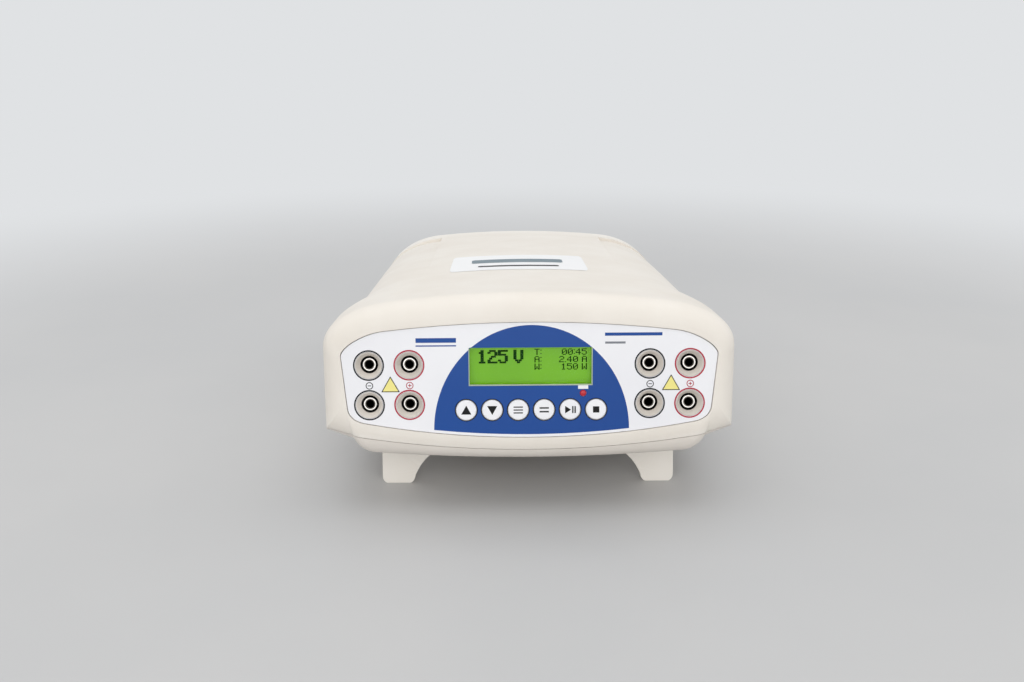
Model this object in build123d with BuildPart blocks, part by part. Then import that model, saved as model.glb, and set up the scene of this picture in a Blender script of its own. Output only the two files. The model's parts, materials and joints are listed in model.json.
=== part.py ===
from build123d import *
from math import asin, atan2, cos, degrees, radians, sin, sqrt, tan
import os

# Bench power supply for gel electrophoresis: a moulded two-shell case on fold-down front legs.
# Everything is drawn in the case's own level frame, in millimetres: X to the right, Y from the front
# panel towards the back, Z up from the underside. The last section stands the finished pieces on the
# bench, nose up on the unfolded legs.

os.makedirs("parts", exist_ok=True)

# Case form
case_depth = 285.0
case_top = 81.5
hood_half_width = 98.6
body_half_width = 94.0
rear_half_width = 95.6
base_rise = 2.6
wall = 2.5
nose_depth = 13.0
hood_end = 33.0
flare_end = 86.0
rim_length = 23.0
parting_side_z = 18.0
parting_mid_z = 7.4
parting_gap = 0.25
scoop_width = 39.0
scoop_height = 36.5
scoop_depth = 2.0

# Front panel and its film
panel_centre_z = 41.0
panel_tilt = 4.0
panel_margin = 9.6
panel_top = 27.7
panel_base = 27.7
panel_recess = 0.6
panel_clearance = 0.25
lip_width = 1.0
film_thickness = 0.5
plate_thickness = 2.5
ledge_width = 1.5

# Safety sockets
socket_margin = 4.8
socket_pitch = 19.0
socket_row_centre = -2.0
socket_mouth_radius = 6.3
socket_funnel_depth = 3.0
socket_lap = 0.6
socket_shoulder = 3.0
socket_body_radius = 5.6
socket_floor = 2.0
shroud_radius = 4.2
contact_radius = 3.05
contact_bore_radius = 2.0
contact_bore_depth = 18.0
contact_recess = 3.2
contact_tail_radius = 1.2
contact_tail = 6.0
socket_clearance = 0.15

# Keys
key_names = ("up", "down", "mode", "constant", "start", "stop")
key_gap = 0.8
key_centre_x = 0.7
key_drop = 12.0
key_radius = 4.85
key_clearance = 0.3
key_travel = 0.5
key_stand_out = 0.6
key_flange = 0.9
key_flange_thickness = 1.0
key_stem_radius = 1.7
switch_width = 6.2
switch_body_height = 3.4
switch_button_height = 1.2
switch_button_radius = 1.7

# Display and lamp
display_x = 0.5
display_z = 6.65
display_width = 57.7
display_height = 17.8
display_sill = 1.0
window_thickness = 1.3
window_lap = 1.4
module_margin = 3.0
module_thickness = 5.5
glass_thickness = 1.1
led_drop = 4.15
led_radius = 1.5
led_flange = 0.5
led_stand_out = 0.5

# Circuit boards
board_thickness = 1.6
control_board_depth = 13.0
control_board_edge = 2.8
post_radius = 2.6
post_gap = 0.45
post_reach = 6.55
post_drop = 5.5
board_screw_radius = 1.0
board_screw_head = 2.0
board_screw_head_height = 1.4
board_screw_reach = 6.0
screw_clearance = 0.1
output_board_margin = 8.0
main_board_margin = 28.0
main_board_front = 92.0
main_board_rear = 246.0
main_board_z = 11.0

# Fold-down legs
leg_inset = 23.6
leg_width = 16.8
leg_root_width = 26.6
leg_flare_start = 11.2
leg_thickness = 5.0
leg_lean = 8.0
leg_drop = 26.0
leg_toe_radius = 4.0
leg_barrel_radius = 3.0
leg_pivot_y = 42.0
leg_pivot_z = 4.2
leg_pin_radius = 1.5
leg_clearance = 0.4
pin_running_gap = 0.06
pin_seat = 2.6

# Rubber feet
foot_inset = 28.0
foot_front_y = 88.0
foot_rear_inset = 23.0
foot_radius = 6.5
foot_height = 5.4
foot_dome_radius = 14.0
foot_seat_z = 3.2
foot_clearance = 0.15

# Case screws and their posts
boss_inset = 20.0
boss_front_y = 104.0
boss_rear_inset = 33.0
boss_radius = 4.2
boss_joint_z = 18.5
boss_height = 14.0
boss_rib = 2.0
screw_radius = 1.5
screw_head_radius = 2.8
screw_head_height = 2.4
screw_seat_z = 6.5
screw_reach = 10.0

# Rear panel, fan, inlet and switch
rear_panel_thickness = 2.5
rear_panel_inset = 8.75
rib_thickness = 2.75
rib_depth = 3.4
fan_x = -36.0
fan_z = 41.0
fan_size = 50.0
fan_depth = 15.0
fan_hole_inset = 5.0
fan_corner_radius = 3.5
fan_rim = 1.8
fan_tip_gap = 1.0
fan_hub_radius = 11.0
fan_shaft_radius = 1.5
fan_blades = 7
fan_web = 2.0
grille_bar = 1.8
grille_slot = 3.0
grille_centre_radius = 4.0
fan_screw_radius = 1.6
fan_screw_head_radius = 2.8
inlet_x = 50.0
inlet_z = 40.0
inlet_width = 28.0
inlet_height = 37.0
inlet_flange = 2.5
inlet_flange_thickness = 2.5
inlet_depth = 18.0
recess_width = 24.4
recess_height = 16.8
recess_depth = 15.5
recess_chamfer = 4.5
recess_drop = 7.4
blade_thickness = 2.0
blade_height = 4.0
blade_spread = 7.0
blade_recess = 3.5
blade_tail = 7.0
drawer_rise = 10.6
drawer_wall = 0.6
drawer_height = 8.4
drawer_depth = 17.0
drawer_clearance = 0.3
drawer_cap_thickness = 1.5
fuse_radius = 2.5
fuse_length = 20.0
fuse_clearance = 0.2
switch_x = 14.0
switch_z = 40.0
switch_wall = 0.9
switch_flange = 1.4
switch_flange_thickness = 1.5
switch_depth = 11.5
rocker_width = 10.4
rocker_half_height = 8.5
rocker_rise = 1.8
rocker_centre = 2.5
rocker_throw = 12.0
rocker_clearance = 0.3
rocker_pin_radius = 1.0

# Parts on the main board, and the slots below them
transformer_x = -24.0
transformer_y = 196.0
transformer_core = (48.0, 18.0, 40.0)
transformer_winding = (32.0, 36.0, 26.0)
capacitor_x = 28.0
capacitor_y = 208.0
capacitor_radius = 11.0
capacitor_height = 35.0
capacitor_pitch = 25.0
heatsink_x = 48.0
heatsink_front = 110.0
heatsink_length = 80.0
heatsink_height = 34.0
heatsink_web = 4.0
heatsink_fin = 1.8
heatsink_reach = 11.0
heatsink_fins = 6
vent_x = 26.0
vent_y = 150.0
vent_width = 2.6
vent_length = 34.0
vent_pitch = 7.0
vent_count = 6


def lerp(a, b, t):
    """Blend two lists of numbers, entry by entry."""
    return [p + (q - p) * t for p, q in zip(a, b)]


rim_start = case_depth - rim_length
panel_half_width = hood_half_width - panel_margin
case_reach = max(hood_half_width, body_half_width, rear_half_width) + 5

# Half sections of the case: crown height, crown end x and z, side x and top z, side foot x and z,
# chin x and z, base x and z, and the height of the middle of the base.
lip_top = panel_centre_z + panel_top + lip_width
lip_base = panel_centre_z - panel_base - lip_width
lip_side = panel_half_width + lip_width
lip_form = [lip_top, lip_side - 28.0, lip_top - 3.1, lip_side, lip_top - 17.2, lip_side - 2.0, lip_base + 17.7,
            lip_side - 3.6, lip_base + 13.2, lip_side - 12.0, lip_base + 7.1, lip_base]
hood_form = [case_top, hood_half_width - 32.4, case_top - 4.3, hood_half_width, 55.4, hood_half_width, 15.0,
             hood_half_width - 14.1, 9.9, hood_half_width - 26.1, base_rise, 0.0]
body_form = [case_top, body_half_width - 38.0, case_top - 3.0, body_half_width, 50.0, body_half_width, 15.0,
             body_half_width - 9.5, 9.9, body_half_width - 21.5, base_rise, 0.0]
rear_form = [case_top, rear_half_width - 38.3, case_top - 2.8, rear_half_width, 45.5, rear_half_width, 15.0,
             rear_half_width - 11.1, 9.9, rear_half_width - 23.1, base_rise, 0.0]


def form_at(y):
    """Section stations at depth y: a rounded nose, the hood, its flare, then the long body."""
    if y < nose_depth:
        return lerp(lip_form, hood_form, sqrt(1 - (1 - y / nose_depth) ** 2))
    if y < hood_end:
        return hood_form
    if y < flare_end:
        t = (y - hood_end) / (flare_end - hood_end)
        return lerp(hood_form, body_form, t * t * (3 - 2 * t))
    if y < rim_start:
        return lerp(body_form, rear_form, (y - flare_end) / (rim_start - flare_end))
    return rear_form


def side_at(y):
    """Half width of the case at depth y."""
    return form_at(y)[3]


def case_section(y, inset=0.0, drop=0.0, spread=0.0):
    """Face of the cross-section at depth y, drawn in by inset, its top lowered and its sides spread."""
    crown_z, crown_x, crown_end_z, side_x, side_top, foot_x, foot_z, chin_x, chin_z, base_x, base_z, mid_z = form_at(y)
    crown_z -= inset + drop
    crown_end_z -= inset + drop
    side_x += spread - inset
    foot_x += spread - inset
    chin_x -= inset
    base_z += inset
    mid_z += inset
    chin_z += 0.4 * inset
    foot_z += 0.4 * inset
    crown_slope = 2 * (crown_z - crown_end_z) / crown_x
    reach = 0.55 * (side_x - crown_x)
    rise = 0.55 * (crown_end_z - side_top)
    lean = radians(panel_tilt) * (1 - min(1, y / nose_depth))
    section_plane = Plane(
        origin=(0, y - panel_centre_z * sin(lean), panel_centre_z * (1 - cos(lean))),
        x_dir=(1, 0, 0),
        z_dir=(0, -cos(lean), sin(lean)),
    )
    with BuildSketch(section_plane) as section:
        with BuildLine():
            ThreePointArc((-crown_x, crown_end_z), (0, crown_z), (crown_x, crown_end_z))
            for s in (1, -1):
                Bezier(
                    (s * crown_x, crown_end_z),
                    (s * (crown_x + reach), crown_end_z - crown_slope * reach),
                    (s * side_x, side_top + rise),
                    (s * side_x, side_top),
                )
                Line((s * side_x, side_top), (s * foot_x, foot_z))
                Line((s * foot_x, foot_z), (s * chin_x, chin_z))
                Bezier(
                    (s * chin_x, chin_z),
                    (s * (0.7 * chin_x + 0.3 * base_x), base_z),
                    (s * base_x, base_z),
                )
            Bezier((base_x, base_z), (0, 2 * mid_z - base_z), (-base_x, base_z))
        make_face()
    return section.sketch.face()


def case_solid(stations, ruled=True, **changes):
    """Loft of the case's sections at the given depths."""
    with BuildPart() as piece:
        loft([case_section(y, **changes) for y in stations], ruled=ruled)
    return piece.part


nose_steps = 6
flare_steps = 4
nose_stations = [nose_depth * (1 - cos(radians(90 * i / nose_steps))) for i in range(nose_steps + 1)]
flare_stations = [hood_end + (flare_end - hood_end) * i / flare_steps for i in range(flare_steps + 1)]

# Outer form of the whole case, with a shallow scoop in each shoulder that ends at the rear rim
with BuildPart() as scoop_core:
    loft([case_section(flare_end, drop=-0.4, spread=0.6), case_section(rim_start, drop=scoop_depth, spread=0.6)],
         ruled=True)

with BuildPart() as scoops:
    scoop_length = rim_start - flare_end
    scoop_inner_x = body_half_width - scoop_width
    for s in (1, -1):
        with Locations((s * (scoop_inner_x + case_reach) / 2, flare_end, case_top - scoop_height)):
            Box(case_reach - scoop_inner_x, scoop_length, scoop_height + 5,
                align=(Align.CENTER, Align.MIN, Align.MIN))
    add(scoop_core.part, mode=Mode.SUBTRACT)

with BuildPart() as master_form:
    add(case_solid(nose_stations, ruled=False))
    add(case_solid([nose_depth, hood_end]))
    add(case_solid(flare_stations, ruled=False))
    add(case_solid([flare_end, rim_start]))
    add(case_solid([rim_start, case_depth]))
    add(scoops.part, mode=Mode.SUBTRACT)

# Hollow inside the walls, with two ribs that hold the rear panel between them
cavity_start = 9.0
rear_panel_y = case_depth - rear_panel_inset
groove_start = rear_panel_y - panel_clearance
groove_end = rear_panel_y + rear_panel_thickness + panel_clearance

with BuildPart() as cavity:
    with BuildPart(mode=Mode.PRIVATE) as cavity_front:
        loft([case_section(nose_depth, inset=wall), case_section(hood_end, inset=wall)], ruled=True)
    add(cavity_front.part)
    with Locations((0, cavity_start - nose_depth, 0)):
        add(cavity_front.part)
    add(case_solid(flare_stations, ruled=False, inset=wall))
    add(case_solid([flare_end, rim_start], inset=wall))
    add(case_solid([rim_start, groove_start - rib_thickness], inset=wall))
    add(case_solid([groove_start - rib_thickness, groove_start], inset=wall + rib_depth))
    add(case_solid([groove_start, groove_end], inset=wall))
    add(case_solid([groove_end, groove_end + rib_thickness], inset=wall + rib_depth))
    add(case_solid([groove_end + rib_thickness, case_depth + 1], inset=wall))



# Parting surface of the two shells, a shallow bow that drops towards the middle
def below_parting(gap=0.0):
    """Everything in the case below the parting surface, less the gap."""
    side_z = parting_side_z - gap
    with BuildPart() as region:
        with BuildSketch(Plane.XZ.offset(nose_depth)):
            with BuildLine():
                ThreePointArc((-case_reach, side_z), (0, parting_mid_z - gap), (case_reach, side_z))
                Polyline((case_reach, side_z), (case_reach, -side_z), (-case_reach, -side_z), (-case_reach, side_z))
            make_face()
        extrude(amount=-(case_depth + 2 * nose_depth))
    return region.part


# Outline of the front panel: a bowed top, rounded shoulders, sides that narrow downwards
def panel_outline(inset=0.0):
    """Face of the front panel's outline, in the panel's own plane, drawn in by inset."""
    side = panel_half_width - inset
    top = panel_top - inset
    base = panel_base - inset
    shoulder = side - 20.0
    heel = side - 11.0
    with BuildSketch() as outline:
        with BuildLine():
            ThreePointArc((-shoulder, top - 4.0), (0, top), (shoulder, top - 4.0))
            ThreePointArc((-heel, 7.1 - base), (0, -base), (heel, 7.1 - base))
            for s in (1, -1):
                Bezier(
                    (s * shoulder, top - 4.0),
                    (s * (shoulder + 10.0), top - 5.2),
                    (s * side, top - 11.7),
                    (s * side, top - 15.7),
                )
                Line((s * side, top - 15.7), (s * (side - 2.6), 14.7 - base))
                Bezier(
                    (s * (side - 2.6), 14.7 - base),
                    (s * (side - 3.0), 10.2 - base),
                    (s * (side - 6.5), 7.9 - base),
                    (s * heel, 7.1 - base),
                )
        make_face()
    return outline.sketch.face()


panel_normal = Vector(0, -cos(radians(panel_tilt)), sin(radians(panel_tilt)))
panel_up = Vector(0, sin(radians(panel_tilt)), cos(radians(panel_tilt)))


def panel_plane(depth):
    """Plane behind the film's front face by depth, looking out of the panel."""
    origin = Vector(0, 0, panel_centre_z) - panel_normal * (panel_recess + depth)
    return Plane(origin=origin, x_dir=(1, 0, 0), z_dir=panel_normal)


plate_front = film_thickness
plate_back = film_thickness + plate_thickness

with BuildPart() as front_opening:
    with BuildSketch(panel_plane(-panel_recess - 1)):
        add(panel_outline())
    extrude(amount=-(panel_recess + 1 + plate_back))
    with BuildSketch(panel_plane(plate_back - 0.5)):
        add(panel_outline(inset=ledge_width))
    extrude(amount=-(cavity_start + 2))

# Top cover: crown, sides and the full frame round the panel, with four screw posts on ribs
boss_rows = (boss_front_y, case_depth - boss_rear_inset)
boss_places = [(s * (side_at(y) - boss_inset), y) for s in (1, -1) for y in boss_rows]

with BuildPart() as posts:
    rib_reach = boss_inset - wall / 2
    for x, y in boss_places:
        with Locations((x, y, boss_joint_z)):
            Cylinder(boss_radius, boss_height, align=(Align.CENTER, Align.CENTER, Align.MIN))
        with Locations((x + (rib_reach / 2 if x > 0 else -rib_reach / 2), y, boss_joint_z)):
            Box(rib_reach, boss_rib, boss_height, align=(Align.CENTER, Align.CENTER, Align.MIN))
    for x, y in boss_places:
        with Locations((x, y, boss_joint_z - 1)):
            Cylinder(screw_radius, screw_reach + 2, align=(Align.CENTER, Align.CENTER, Align.MIN), mode=Mode.SUBTRACT)

with BuildPart() as top_cover:
    add(master_form.part)
    add(below_parting(), mode=Mode.SUBTRACT)
    add(cavity.part, mode=Mode.SUBTRACT)
    add(front_opening.part, mode=Mode.SUBTRACT)
    add(posts.part)

# Bottom housing: tub with screw posts, board posts, two leg pockets and seats for the rubber feet
leg_outer_x = hood_half_width - leg_inset
leg_centre_x = leg_outer_x - leg_root_width / 2
pocket_width = leg_root_width + 2 * leg_clearance
pocket_front_y = leg_pivot_y - leg_thickness / 2 / cos(radians(leg_lean)) - leg_clearance - 0.5
leg_length = leg_drop / cos(radians(leg_lean))
pocket_rear_y = leg_pivot_y + leg_length + 2.6
pocket_roof_z = leg_pivot_z + leg_barrel_radius + leg_clearance
foot_rear_y = case_depth - foot_rear_inset
foot_front_x = side_at(foot_front_y) - foot_inset
foot_rear_x = side_at(foot_rear_y) - foot_inset
foot_places = {
    "front_left": (-foot_front_x, foot_front_y),
    "front_right": (foot_front_x, foot_front_y),
    "rear_left": (-foot_rear_x, foot_rear_y),
    "rear_right": (foot_rear_x, foot_rear_y),
}
main_board_length = main_board_rear - main_board_front
main_board_half_width = body_half_width - main_board_margin
main_post_places = [
    (s * (main_board_half_width - 6), y) for s in (1, -1) for y in (main_board_front + 6, main_board_rear - 6)
]

with BuildPart() as bottom_housing:
    add(master_form.part)
    add(below_parting(parting_gap), mode=Mode.INTERSECT)
    add(cavity.part, mode=Mode.SUBTRACT)
    add(front_opening.part, mode=Mode.SUBTRACT)
    with BuildPart(mode=Mode.PRIVATE) as inner_walls:
        for s in (1, -1):
            with Locations((s * leg_centre_x, (pocket_front_y + pocket_rear_y) / 2, 0)):
                Box(
                    pocket_width + 2 * pin_seat + 2 * wall,
                    pocket_rear_y - pocket_front_y + 2 * wall,
                    pocket_roof_z + wall,
                    align=(Align.CENTER, Align.CENTER, Align.MIN),
                )
        add(master_form.part, mode=Mode.INTERSECT)
    add(inner_walls.part)
    post_root_z = base_rise + wall / 2
    with Locations(*[(x, y, post_root_z) for x, y in boss_places]):
        Cylinder(boss_radius, boss_joint_z - post_root_z, align=(Align.CENTER, Align.CENTER, Align.MIN))
    with Locations(*[(x, y, post_root_z) for x, y in main_post_places]):
        Cylinder(post_radius, main_board_z - post_root_z, align=(Align.CENTER, Align.CENTER, Align.MIN))
    with Locations(*[(x, y, main_board_z) for x, y in main_post_places]):
        Cylinder(board_screw_radius, board_screw_reach + 0.5,
                 align=(Align.CENTER, Align.CENTER, Align.MAX), mode=Mode.SUBTRACT)
    with Locations(*[(x, y, -1) for x, y in boss_places]):
        Cylinder(screw_head_radius + screw_clearance, screw_seat_z + 1,
                 align=(Align.CENTER, Align.CENTER, Align.MIN), mode=Mode.SUBTRACT)
        Cylinder(screw_radius + screw_clearance, boss_joint_z + 2,
                 align=(Align.CENTER, Align.CENTER, Align.MIN), mode=Mode.SUBTRACT)
    with Locations(*[(x, y, foot_seat_z) for x, y in foot_places.values()]):
        Cylinder(foot_radius + foot_clearance, 5, align=(Align.CENTER, Align.CENTER, Align.MAX), mode=Mode.SUBTRACT)
    with BuildSketch(Plane.XY.offset(-1)):
        with Locations((vent_x, vent_y), (-vent_x, vent_y)):
            with GridLocations(0, vent_pitch, 1, vent_count):
                SlotOverall(vent_length, vent_width)
    extrude(amount=wall + 3, mode=Mode.SUBTRACT)
    for s in (1, -1):
        with Locations((s * leg_centre_x, (pocket_front_y + pocket_rear_y) / 2, pocket_roof_z)):
            Box(pocket_width, pocket_rear_y - pocket_front_y, 20,
                align=(Align.CENTER, Align.CENTER, Align.MAX), mode=Mode.SUBTRACT)
        with Locations(Location((s * leg_centre_x, leg_pivot_y, leg_pivot_z), (0, 90, 0))):
            Cylinder(leg_pin_radius, pocket_width + 2 * pin_seat, mode=Mode.SUBTRACT)


# Front panel: a moulded plate with wells for the sockets, holes for the keys, a sill for the window
socket_shoulder_radius = socket_mouth_radius + socket_lap
socket_outer_x = panel_half_width - ledge_width - socket_margin - socket_shoulder_radius
socket_inner_x = socket_outer_x - socket_pitch
socket_columns = {
    "left_outer": -socket_outer_x,
    "left_inner": -socket_inner_x,
    "right_inner": socket_inner_x,
    "right_outer": socket_outer_x,
}
socket_rows = {"top": socket_row_centre + socket_pitch / 2, "bottom": socket_row_centre - socket_pitch / 2}
socket_places = {
    f"{column}_{row}": (u, v) for column, u in socket_columns.items() for row, v in socket_rows.items()
}
key_pitch = 2 * (key_radius + key_flange) + key_gap
key_row_z = display_z - display_height / 2 - key_drop
key_places = {
    name: (key_centre_x + (i - (len(key_names) - 1) / 2) * key_pitch, key_row_z) for i, name in enumerate(key_names)
}
outer_key_x = key_pitch * (len(key_names) - 1) / 2 + key_centre_x
sill_depth = film_thickness + display_sill
window_width = display_width + 2 * window_lap
window_height = display_height + 2 * window_lap
window_clearance = 0.2
module_width = window_width + 2 * module_margin
module_height = window_height + 2 * module_margin
post_top_x = display_x + module_width / 2 + post_gap + post_radius
post_base_x = outer_key_x + post_reach
post_top_z = display_z + module_height / 2 - post_radius
post_base_z = key_row_z - post_drop
post_places = [(s * post_top_x, post_top_z) for s in (1, -1)] + [(s * post_base_x, post_base_z) for s in (1, -1)]
control_board_half_width = max(post_top_x, post_base_x) + control_board_edge
control_board_top = post_top_z + control_board_edge
control_board_base = post_base_z - control_board_edge


def plugs(places, radius, front, back):
    """Round bars square to the panel at the given places, from one depth to another."""
    with BuildPart() as bars:
        with BuildSketch(panel_plane(front)):
            with Locations(*places):
                Circle(radius)
        extrude(amount=front - back)
    return bars.part


def turned(place, outline):
    """Solid turned about a line square to the panel; the outline lists its radius and depth corners."""
    centre = panel_plane(0).from_local_coords((place[0], place[1], 0))
    with BuildPart() as piece:
        with BuildSketch(Plane(origin=centre, x_dir=(1, 0, 0), z_dir=panel_up)):
            with BuildLine():
                Polyline(*outline, close=True)
            make_face()
        revolve(axis=Axis(centre, panel_normal))
    return piece.part


def panel_box(width, height, place, front, back):
    """Block square to the panel, centred at a place, from one depth to another."""
    with BuildPart() as block:
        with BuildSketch(panel_plane(front)):
            with Locations(place):
                Rectangle(width, height)
        extrude(amount=front - back)
    return block.part


display_place = (display_x, display_z)
led_place = (outer_key_x - key_pitch / 2, display_z - display_height / 2 - led_drop)
mouth_hole_radius = socket_mouth_radius + socket_clearance
key_hole_radius = key_radius + key_clearance

with BuildPart() as front_panel:
    with BuildSketch(panel_plane(plate_front)):
        add(panel_outline(inset=panel_clearance))
    extrude(amount=-plate_thickness)
    add(plugs(post_places, post_radius, plate_back, control_board_depth))
    add(plugs(post_places, board_screw_radius, control_board_depth - board_screw_reach - 0.5, control_board_depth),
        mode=Mode.SUBTRACT)
    add(plugs(socket_places.values(), mouth_hole_radius, 0, plate_back + 1), mode=Mode.SUBTRACT)
    add(plugs(key_places.values(), key_hole_radius, 0, plate_back + 1), mode=Mode.SUBTRACT)
    add(plugs([led_place], led_radius + screw_clearance, 0, plate_back + 1), mode=Mode.SUBTRACT)
    add(panel_box(display_width, display_height, display_place, 0, plate_back + 1), mode=Mode.SUBTRACT)
    add(
        panel_box(window_width + 2 * window_clearance, window_height + 2 * window_clearance, display_place,
                  sill_depth, plate_back + 1),
        mode=Mode.SUBTRACT,
    )

with BuildPart() as panel_overlay:
    with BuildSketch(panel_plane(0)):
        add(panel_outline(inset=panel_clearance))
        with Locations(*socket_places.values()):
            Circle(mouth_hole_radius, mode=Mode.SUBTRACT)
        with Locations(*key_places.values()):
            Circle(key_hole_radius, mode=Mode.SUBTRACT)
        with Locations(led_place):
            Circle(led_radius + screw_clearance, mode=Mode.SUBTRACT)
        with Locations(display_place):
            Rectangle(display_width, display_height, mode=Mode.SUBTRACT)
    extrude(amount=-film_thickness)

# Safety sockets: a shouldered body with a funnel mouth and a floor, and a bored contact on the floor
socket_well = contact_recess + contact_bore_depth + 2.0
socket_end = socket_well + socket_floor
shoulder_end = plate_back + socket_shoulder
contact_end = socket_end + contact_tail
socket_bodies = {}
socket_contacts = {}
for name, place in socket_places.items():
    socket_bodies[name] = turned(place, [
        (shroud_radius, socket_funnel_depth),
        (socket_mouth_radius - 0.3, 0),
        (socket_mouth_radius, 0),
        (socket_mouth_radius, plate_back),
        (socket_shoulder_radius, plate_back),
        (socket_shoulder_radius, shoulder_end),
        (socket_body_radius, shoulder_end),
        (socket_body_radius, socket_end),
        (contact_tail_radius, socket_end),
        (contact_tail_radius, socket_well),
        (shroud_radius, socket_well),
    ])
    socket_contacts[name] = turned(place, [
        (contact_bore_radius, contact_recess),
        (contact_radius, contact_recess),
        (contact_radius, socket_well),
        (contact_tail_radius, socket_well),
        (contact_tail_radius, contact_end),
        (0, contact_end),
        (0, contact_recess + contact_bore_depth),
        (contact_bore_radius, contact_recess + contact_bore_depth),
    ])

# Output boards on the ends of the socket bodies, one for each group of four
output_boards = {}
for side, sign in (("left", -1), ("right", 1)):
    group = [place for place in socket_places.values() if place[0] * sign > 0]
    centre = (sum(u for u, v in group) / 4, sum(v for u, v in group) / 4)
    with BuildPart() as board:
        add(panel_box(socket_pitch + 2 * output_board_margin, socket_pitch + 2 * output_board_margin, centre,
                      socket_end, socket_end + board_thickness))
        add(plugs(group, contact_tail_radius, socket_end - 1, contact_end), mode=Mode.SUBTRACT)
    output_boards[side] = board.part

# Display: a clear window on the sill, then the module's frame round its glass, on the control board
module_front = plate_back + 0.3
module_back = module_front + module_thickness
glass_front = module_front + 0.6

with BuildPart() as display_window:
    add(panel_box(window_width, window_height, display_place, sill_depth, sill_depth + window_thickness))

with BuildPart() as lcd_bezel:
    add(panel_box(module_width, module_height, display_place, module_front, control_board_depth))
    add(panel_box(display_width + 1, display_height + 1, display_place, module_front - 1, module_back), mode=Mode.SUBTRACT)
    add(panel_box(window_width, window_height, display_place, glass_front, module_back), mode=Mode.SUBTRACT)
    add(plugs([led_place], led_radius + led_flange + 0.3, 0, control_board_depth + 1), mode=Mode.SUBTRACT)

with BuildPart() as lcd_glass:
    add(panel_box(window_width, window_height, display_place, glass_front, module_back))

# Control board with six switches and the run lamp, screwed to the panel's four posts
with BuildPart() as control_board:
    add(panel_box(2 * control_board_half_width, control_board_top - control_board_base,
                  (0, (control_board_top + control_board_base) / 2),
                  control_board_depth, control_board_depth + board_thickness))
    add(plugs(post_places, board_screw_radius + screw_clearance, control_board_depth - 1,
              control_board_depth + board_thickness + 1), mode=Mode.SUBTRACT)

button_front = control_board_depth - switch_body_height - switch_button_height
with BuildPart() as tact_switches:
    for place in key_places.values():
        add(panel_box(switch_width, switch_width, place, control_board_depth - switch_body_height, control_board_depth))
    add(plugs(key_places.values(), switch_button_radius, button_front, control_board_depth - switch_body_height))

with BuildPart() as run_led:
    add(turned(led_place, [
        (0, -led_stand_out - 0.3),
        (0.8 * led_radius, -led_stand_out),
        (led_radius, 0.2),
        (led_radius, plate_back + 0.3),
        (led_radius + led_flange, plate_back + 0.3),
        (led_radius + led_flange, control_board_depth),
        (0, control_board_depth),
    ]))

# Keys: a flat cap, a flange behind the plate and a stem above its switch
key_flange_front = plate_back + 0.3
key_stem_end = button_front - key_travel - 0.3
keys = {}
for name, place in key_places.items():
    keys[name] = turned(place, [
        (0, -key_stand_out),
        (key_radius - 0.4, -key_stand_out),
        (key_radius, 0.4 - key_stand_out),
        (key_radius, key_flange_front),
        (key_radius + key_flange, key_flange_front),
        (key_radius + key_flange, key_flange_front + key_flange_thickness),
        (key_stem_radius, key_flange_front + key_flange_thickness),
        (key_stem_radius, key_stem_end),
        (0, key_stem_end),
    ])


# Rear panel, seated between the ribs of both shells, with a ring grille and three cut-outs
rear_face_y = rear_panel_y + rear_panel_thickness
fan_place = (fan_x, fan_z)
fan_hole_reach = fan_size / 2 - fan_hole_inset
fan_corners = [(fan_x + i * fan_hole_reach, fan_z + j * fan_hole_reach) for i in (1, -1) for j in (1, -1)]
fan_bore_radius = fan_size / 2 - fan_rim
fan_rotor_radius = fan_bore_radius - fan_tip_gap
grille_rings = int((fan_bore_radius - grille_centre_radius) / (grille_slot + grille_bar))
rocker_pivot_y = rear_face_y + switch_flange_thickness - rocker_centre
rocker_sweep = sqrt(rocker_half_height ** 2 + (rocker_centre + rocker_rise) ** 2)
rocker_corner = degrees(atan2(rocker_centre + rocker_rise, rocker_half_height))
switch_opening_half = rocker_sweep * cos(radians(rocker_corner - rocker_throw)) + rocker_clearance
switch_opening_width = rocker_width + 2 * rocker_clearance
switch_body_width = switch_opening_width + 2 * switch_wall
switch_body_size = 2 * (switch_opening_half + switch_wall)


def behind(y, thickness, width, height, place):
    """Block facing the rear, from y backwards by thickness, centred at a place."""
    with BuildPart() as block:
        with BuildSketch(Plane.XZ.offset(-y)):
            with Locations(place):
                Rectangle(width, height)
        extrude(amount=-thickness)
    return block.part


def rear_bars(y, thickness, radius, places):
    """Round bars facing the rear, from y backwards by thickness, at the given places."""
    with BuildPart() as bars:
        with BuildSketch(Plane.XZ.offset(-y)):
            with Locations(*places):
                Circle(radius)
        extrude(amount=-thickness)
    return bars.part


with BuildPart() as rear_panel:
    extrude(case_section(rear_panel_y, inset=wall + panel_clearance), amount=rear_panel_thickness, dir=(0, 1, 0))
    with BuildSketch(Plane.XZ.offset(-rear_panel_y)):
        for i in reversed(range(grille_rings)):
            slot_inner = grille_centre_radius + i * (grille_slot + grille_bar)
            with Locations(fan_place):
                Circle(slot_inner + grille_slot)
                Circle(slot_inner, mode=Mode.SUBTRACT)
        with Locations(fan_place):
            Rectangle(2 * fan_bore_radius, grille_bar, rotation=45, mode=Mode.SUBTRACT)
            Rectangle(2 * fan_bore_radius, grille_bar, rotation=-45, mode=Mode.SUBTRACT)
        with Locations(*fan_corners):
            Circle(fan_screw_radius + screw_clearance)
        with Locations((inlet_x, inlet_z)):
            Rectangle(inlet_width + 2 * window_clearance, inlet_height + 2 * window_clearance)
        with Locations((switch_x, switch_z)):
            Rectangle(switch_body_width + 2 * window_clearance, switch_body_size + 2 * window_clearance)
    extrude(amount=-rear_panel_thickness, mode=Mode.SUBTRACT)

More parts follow.
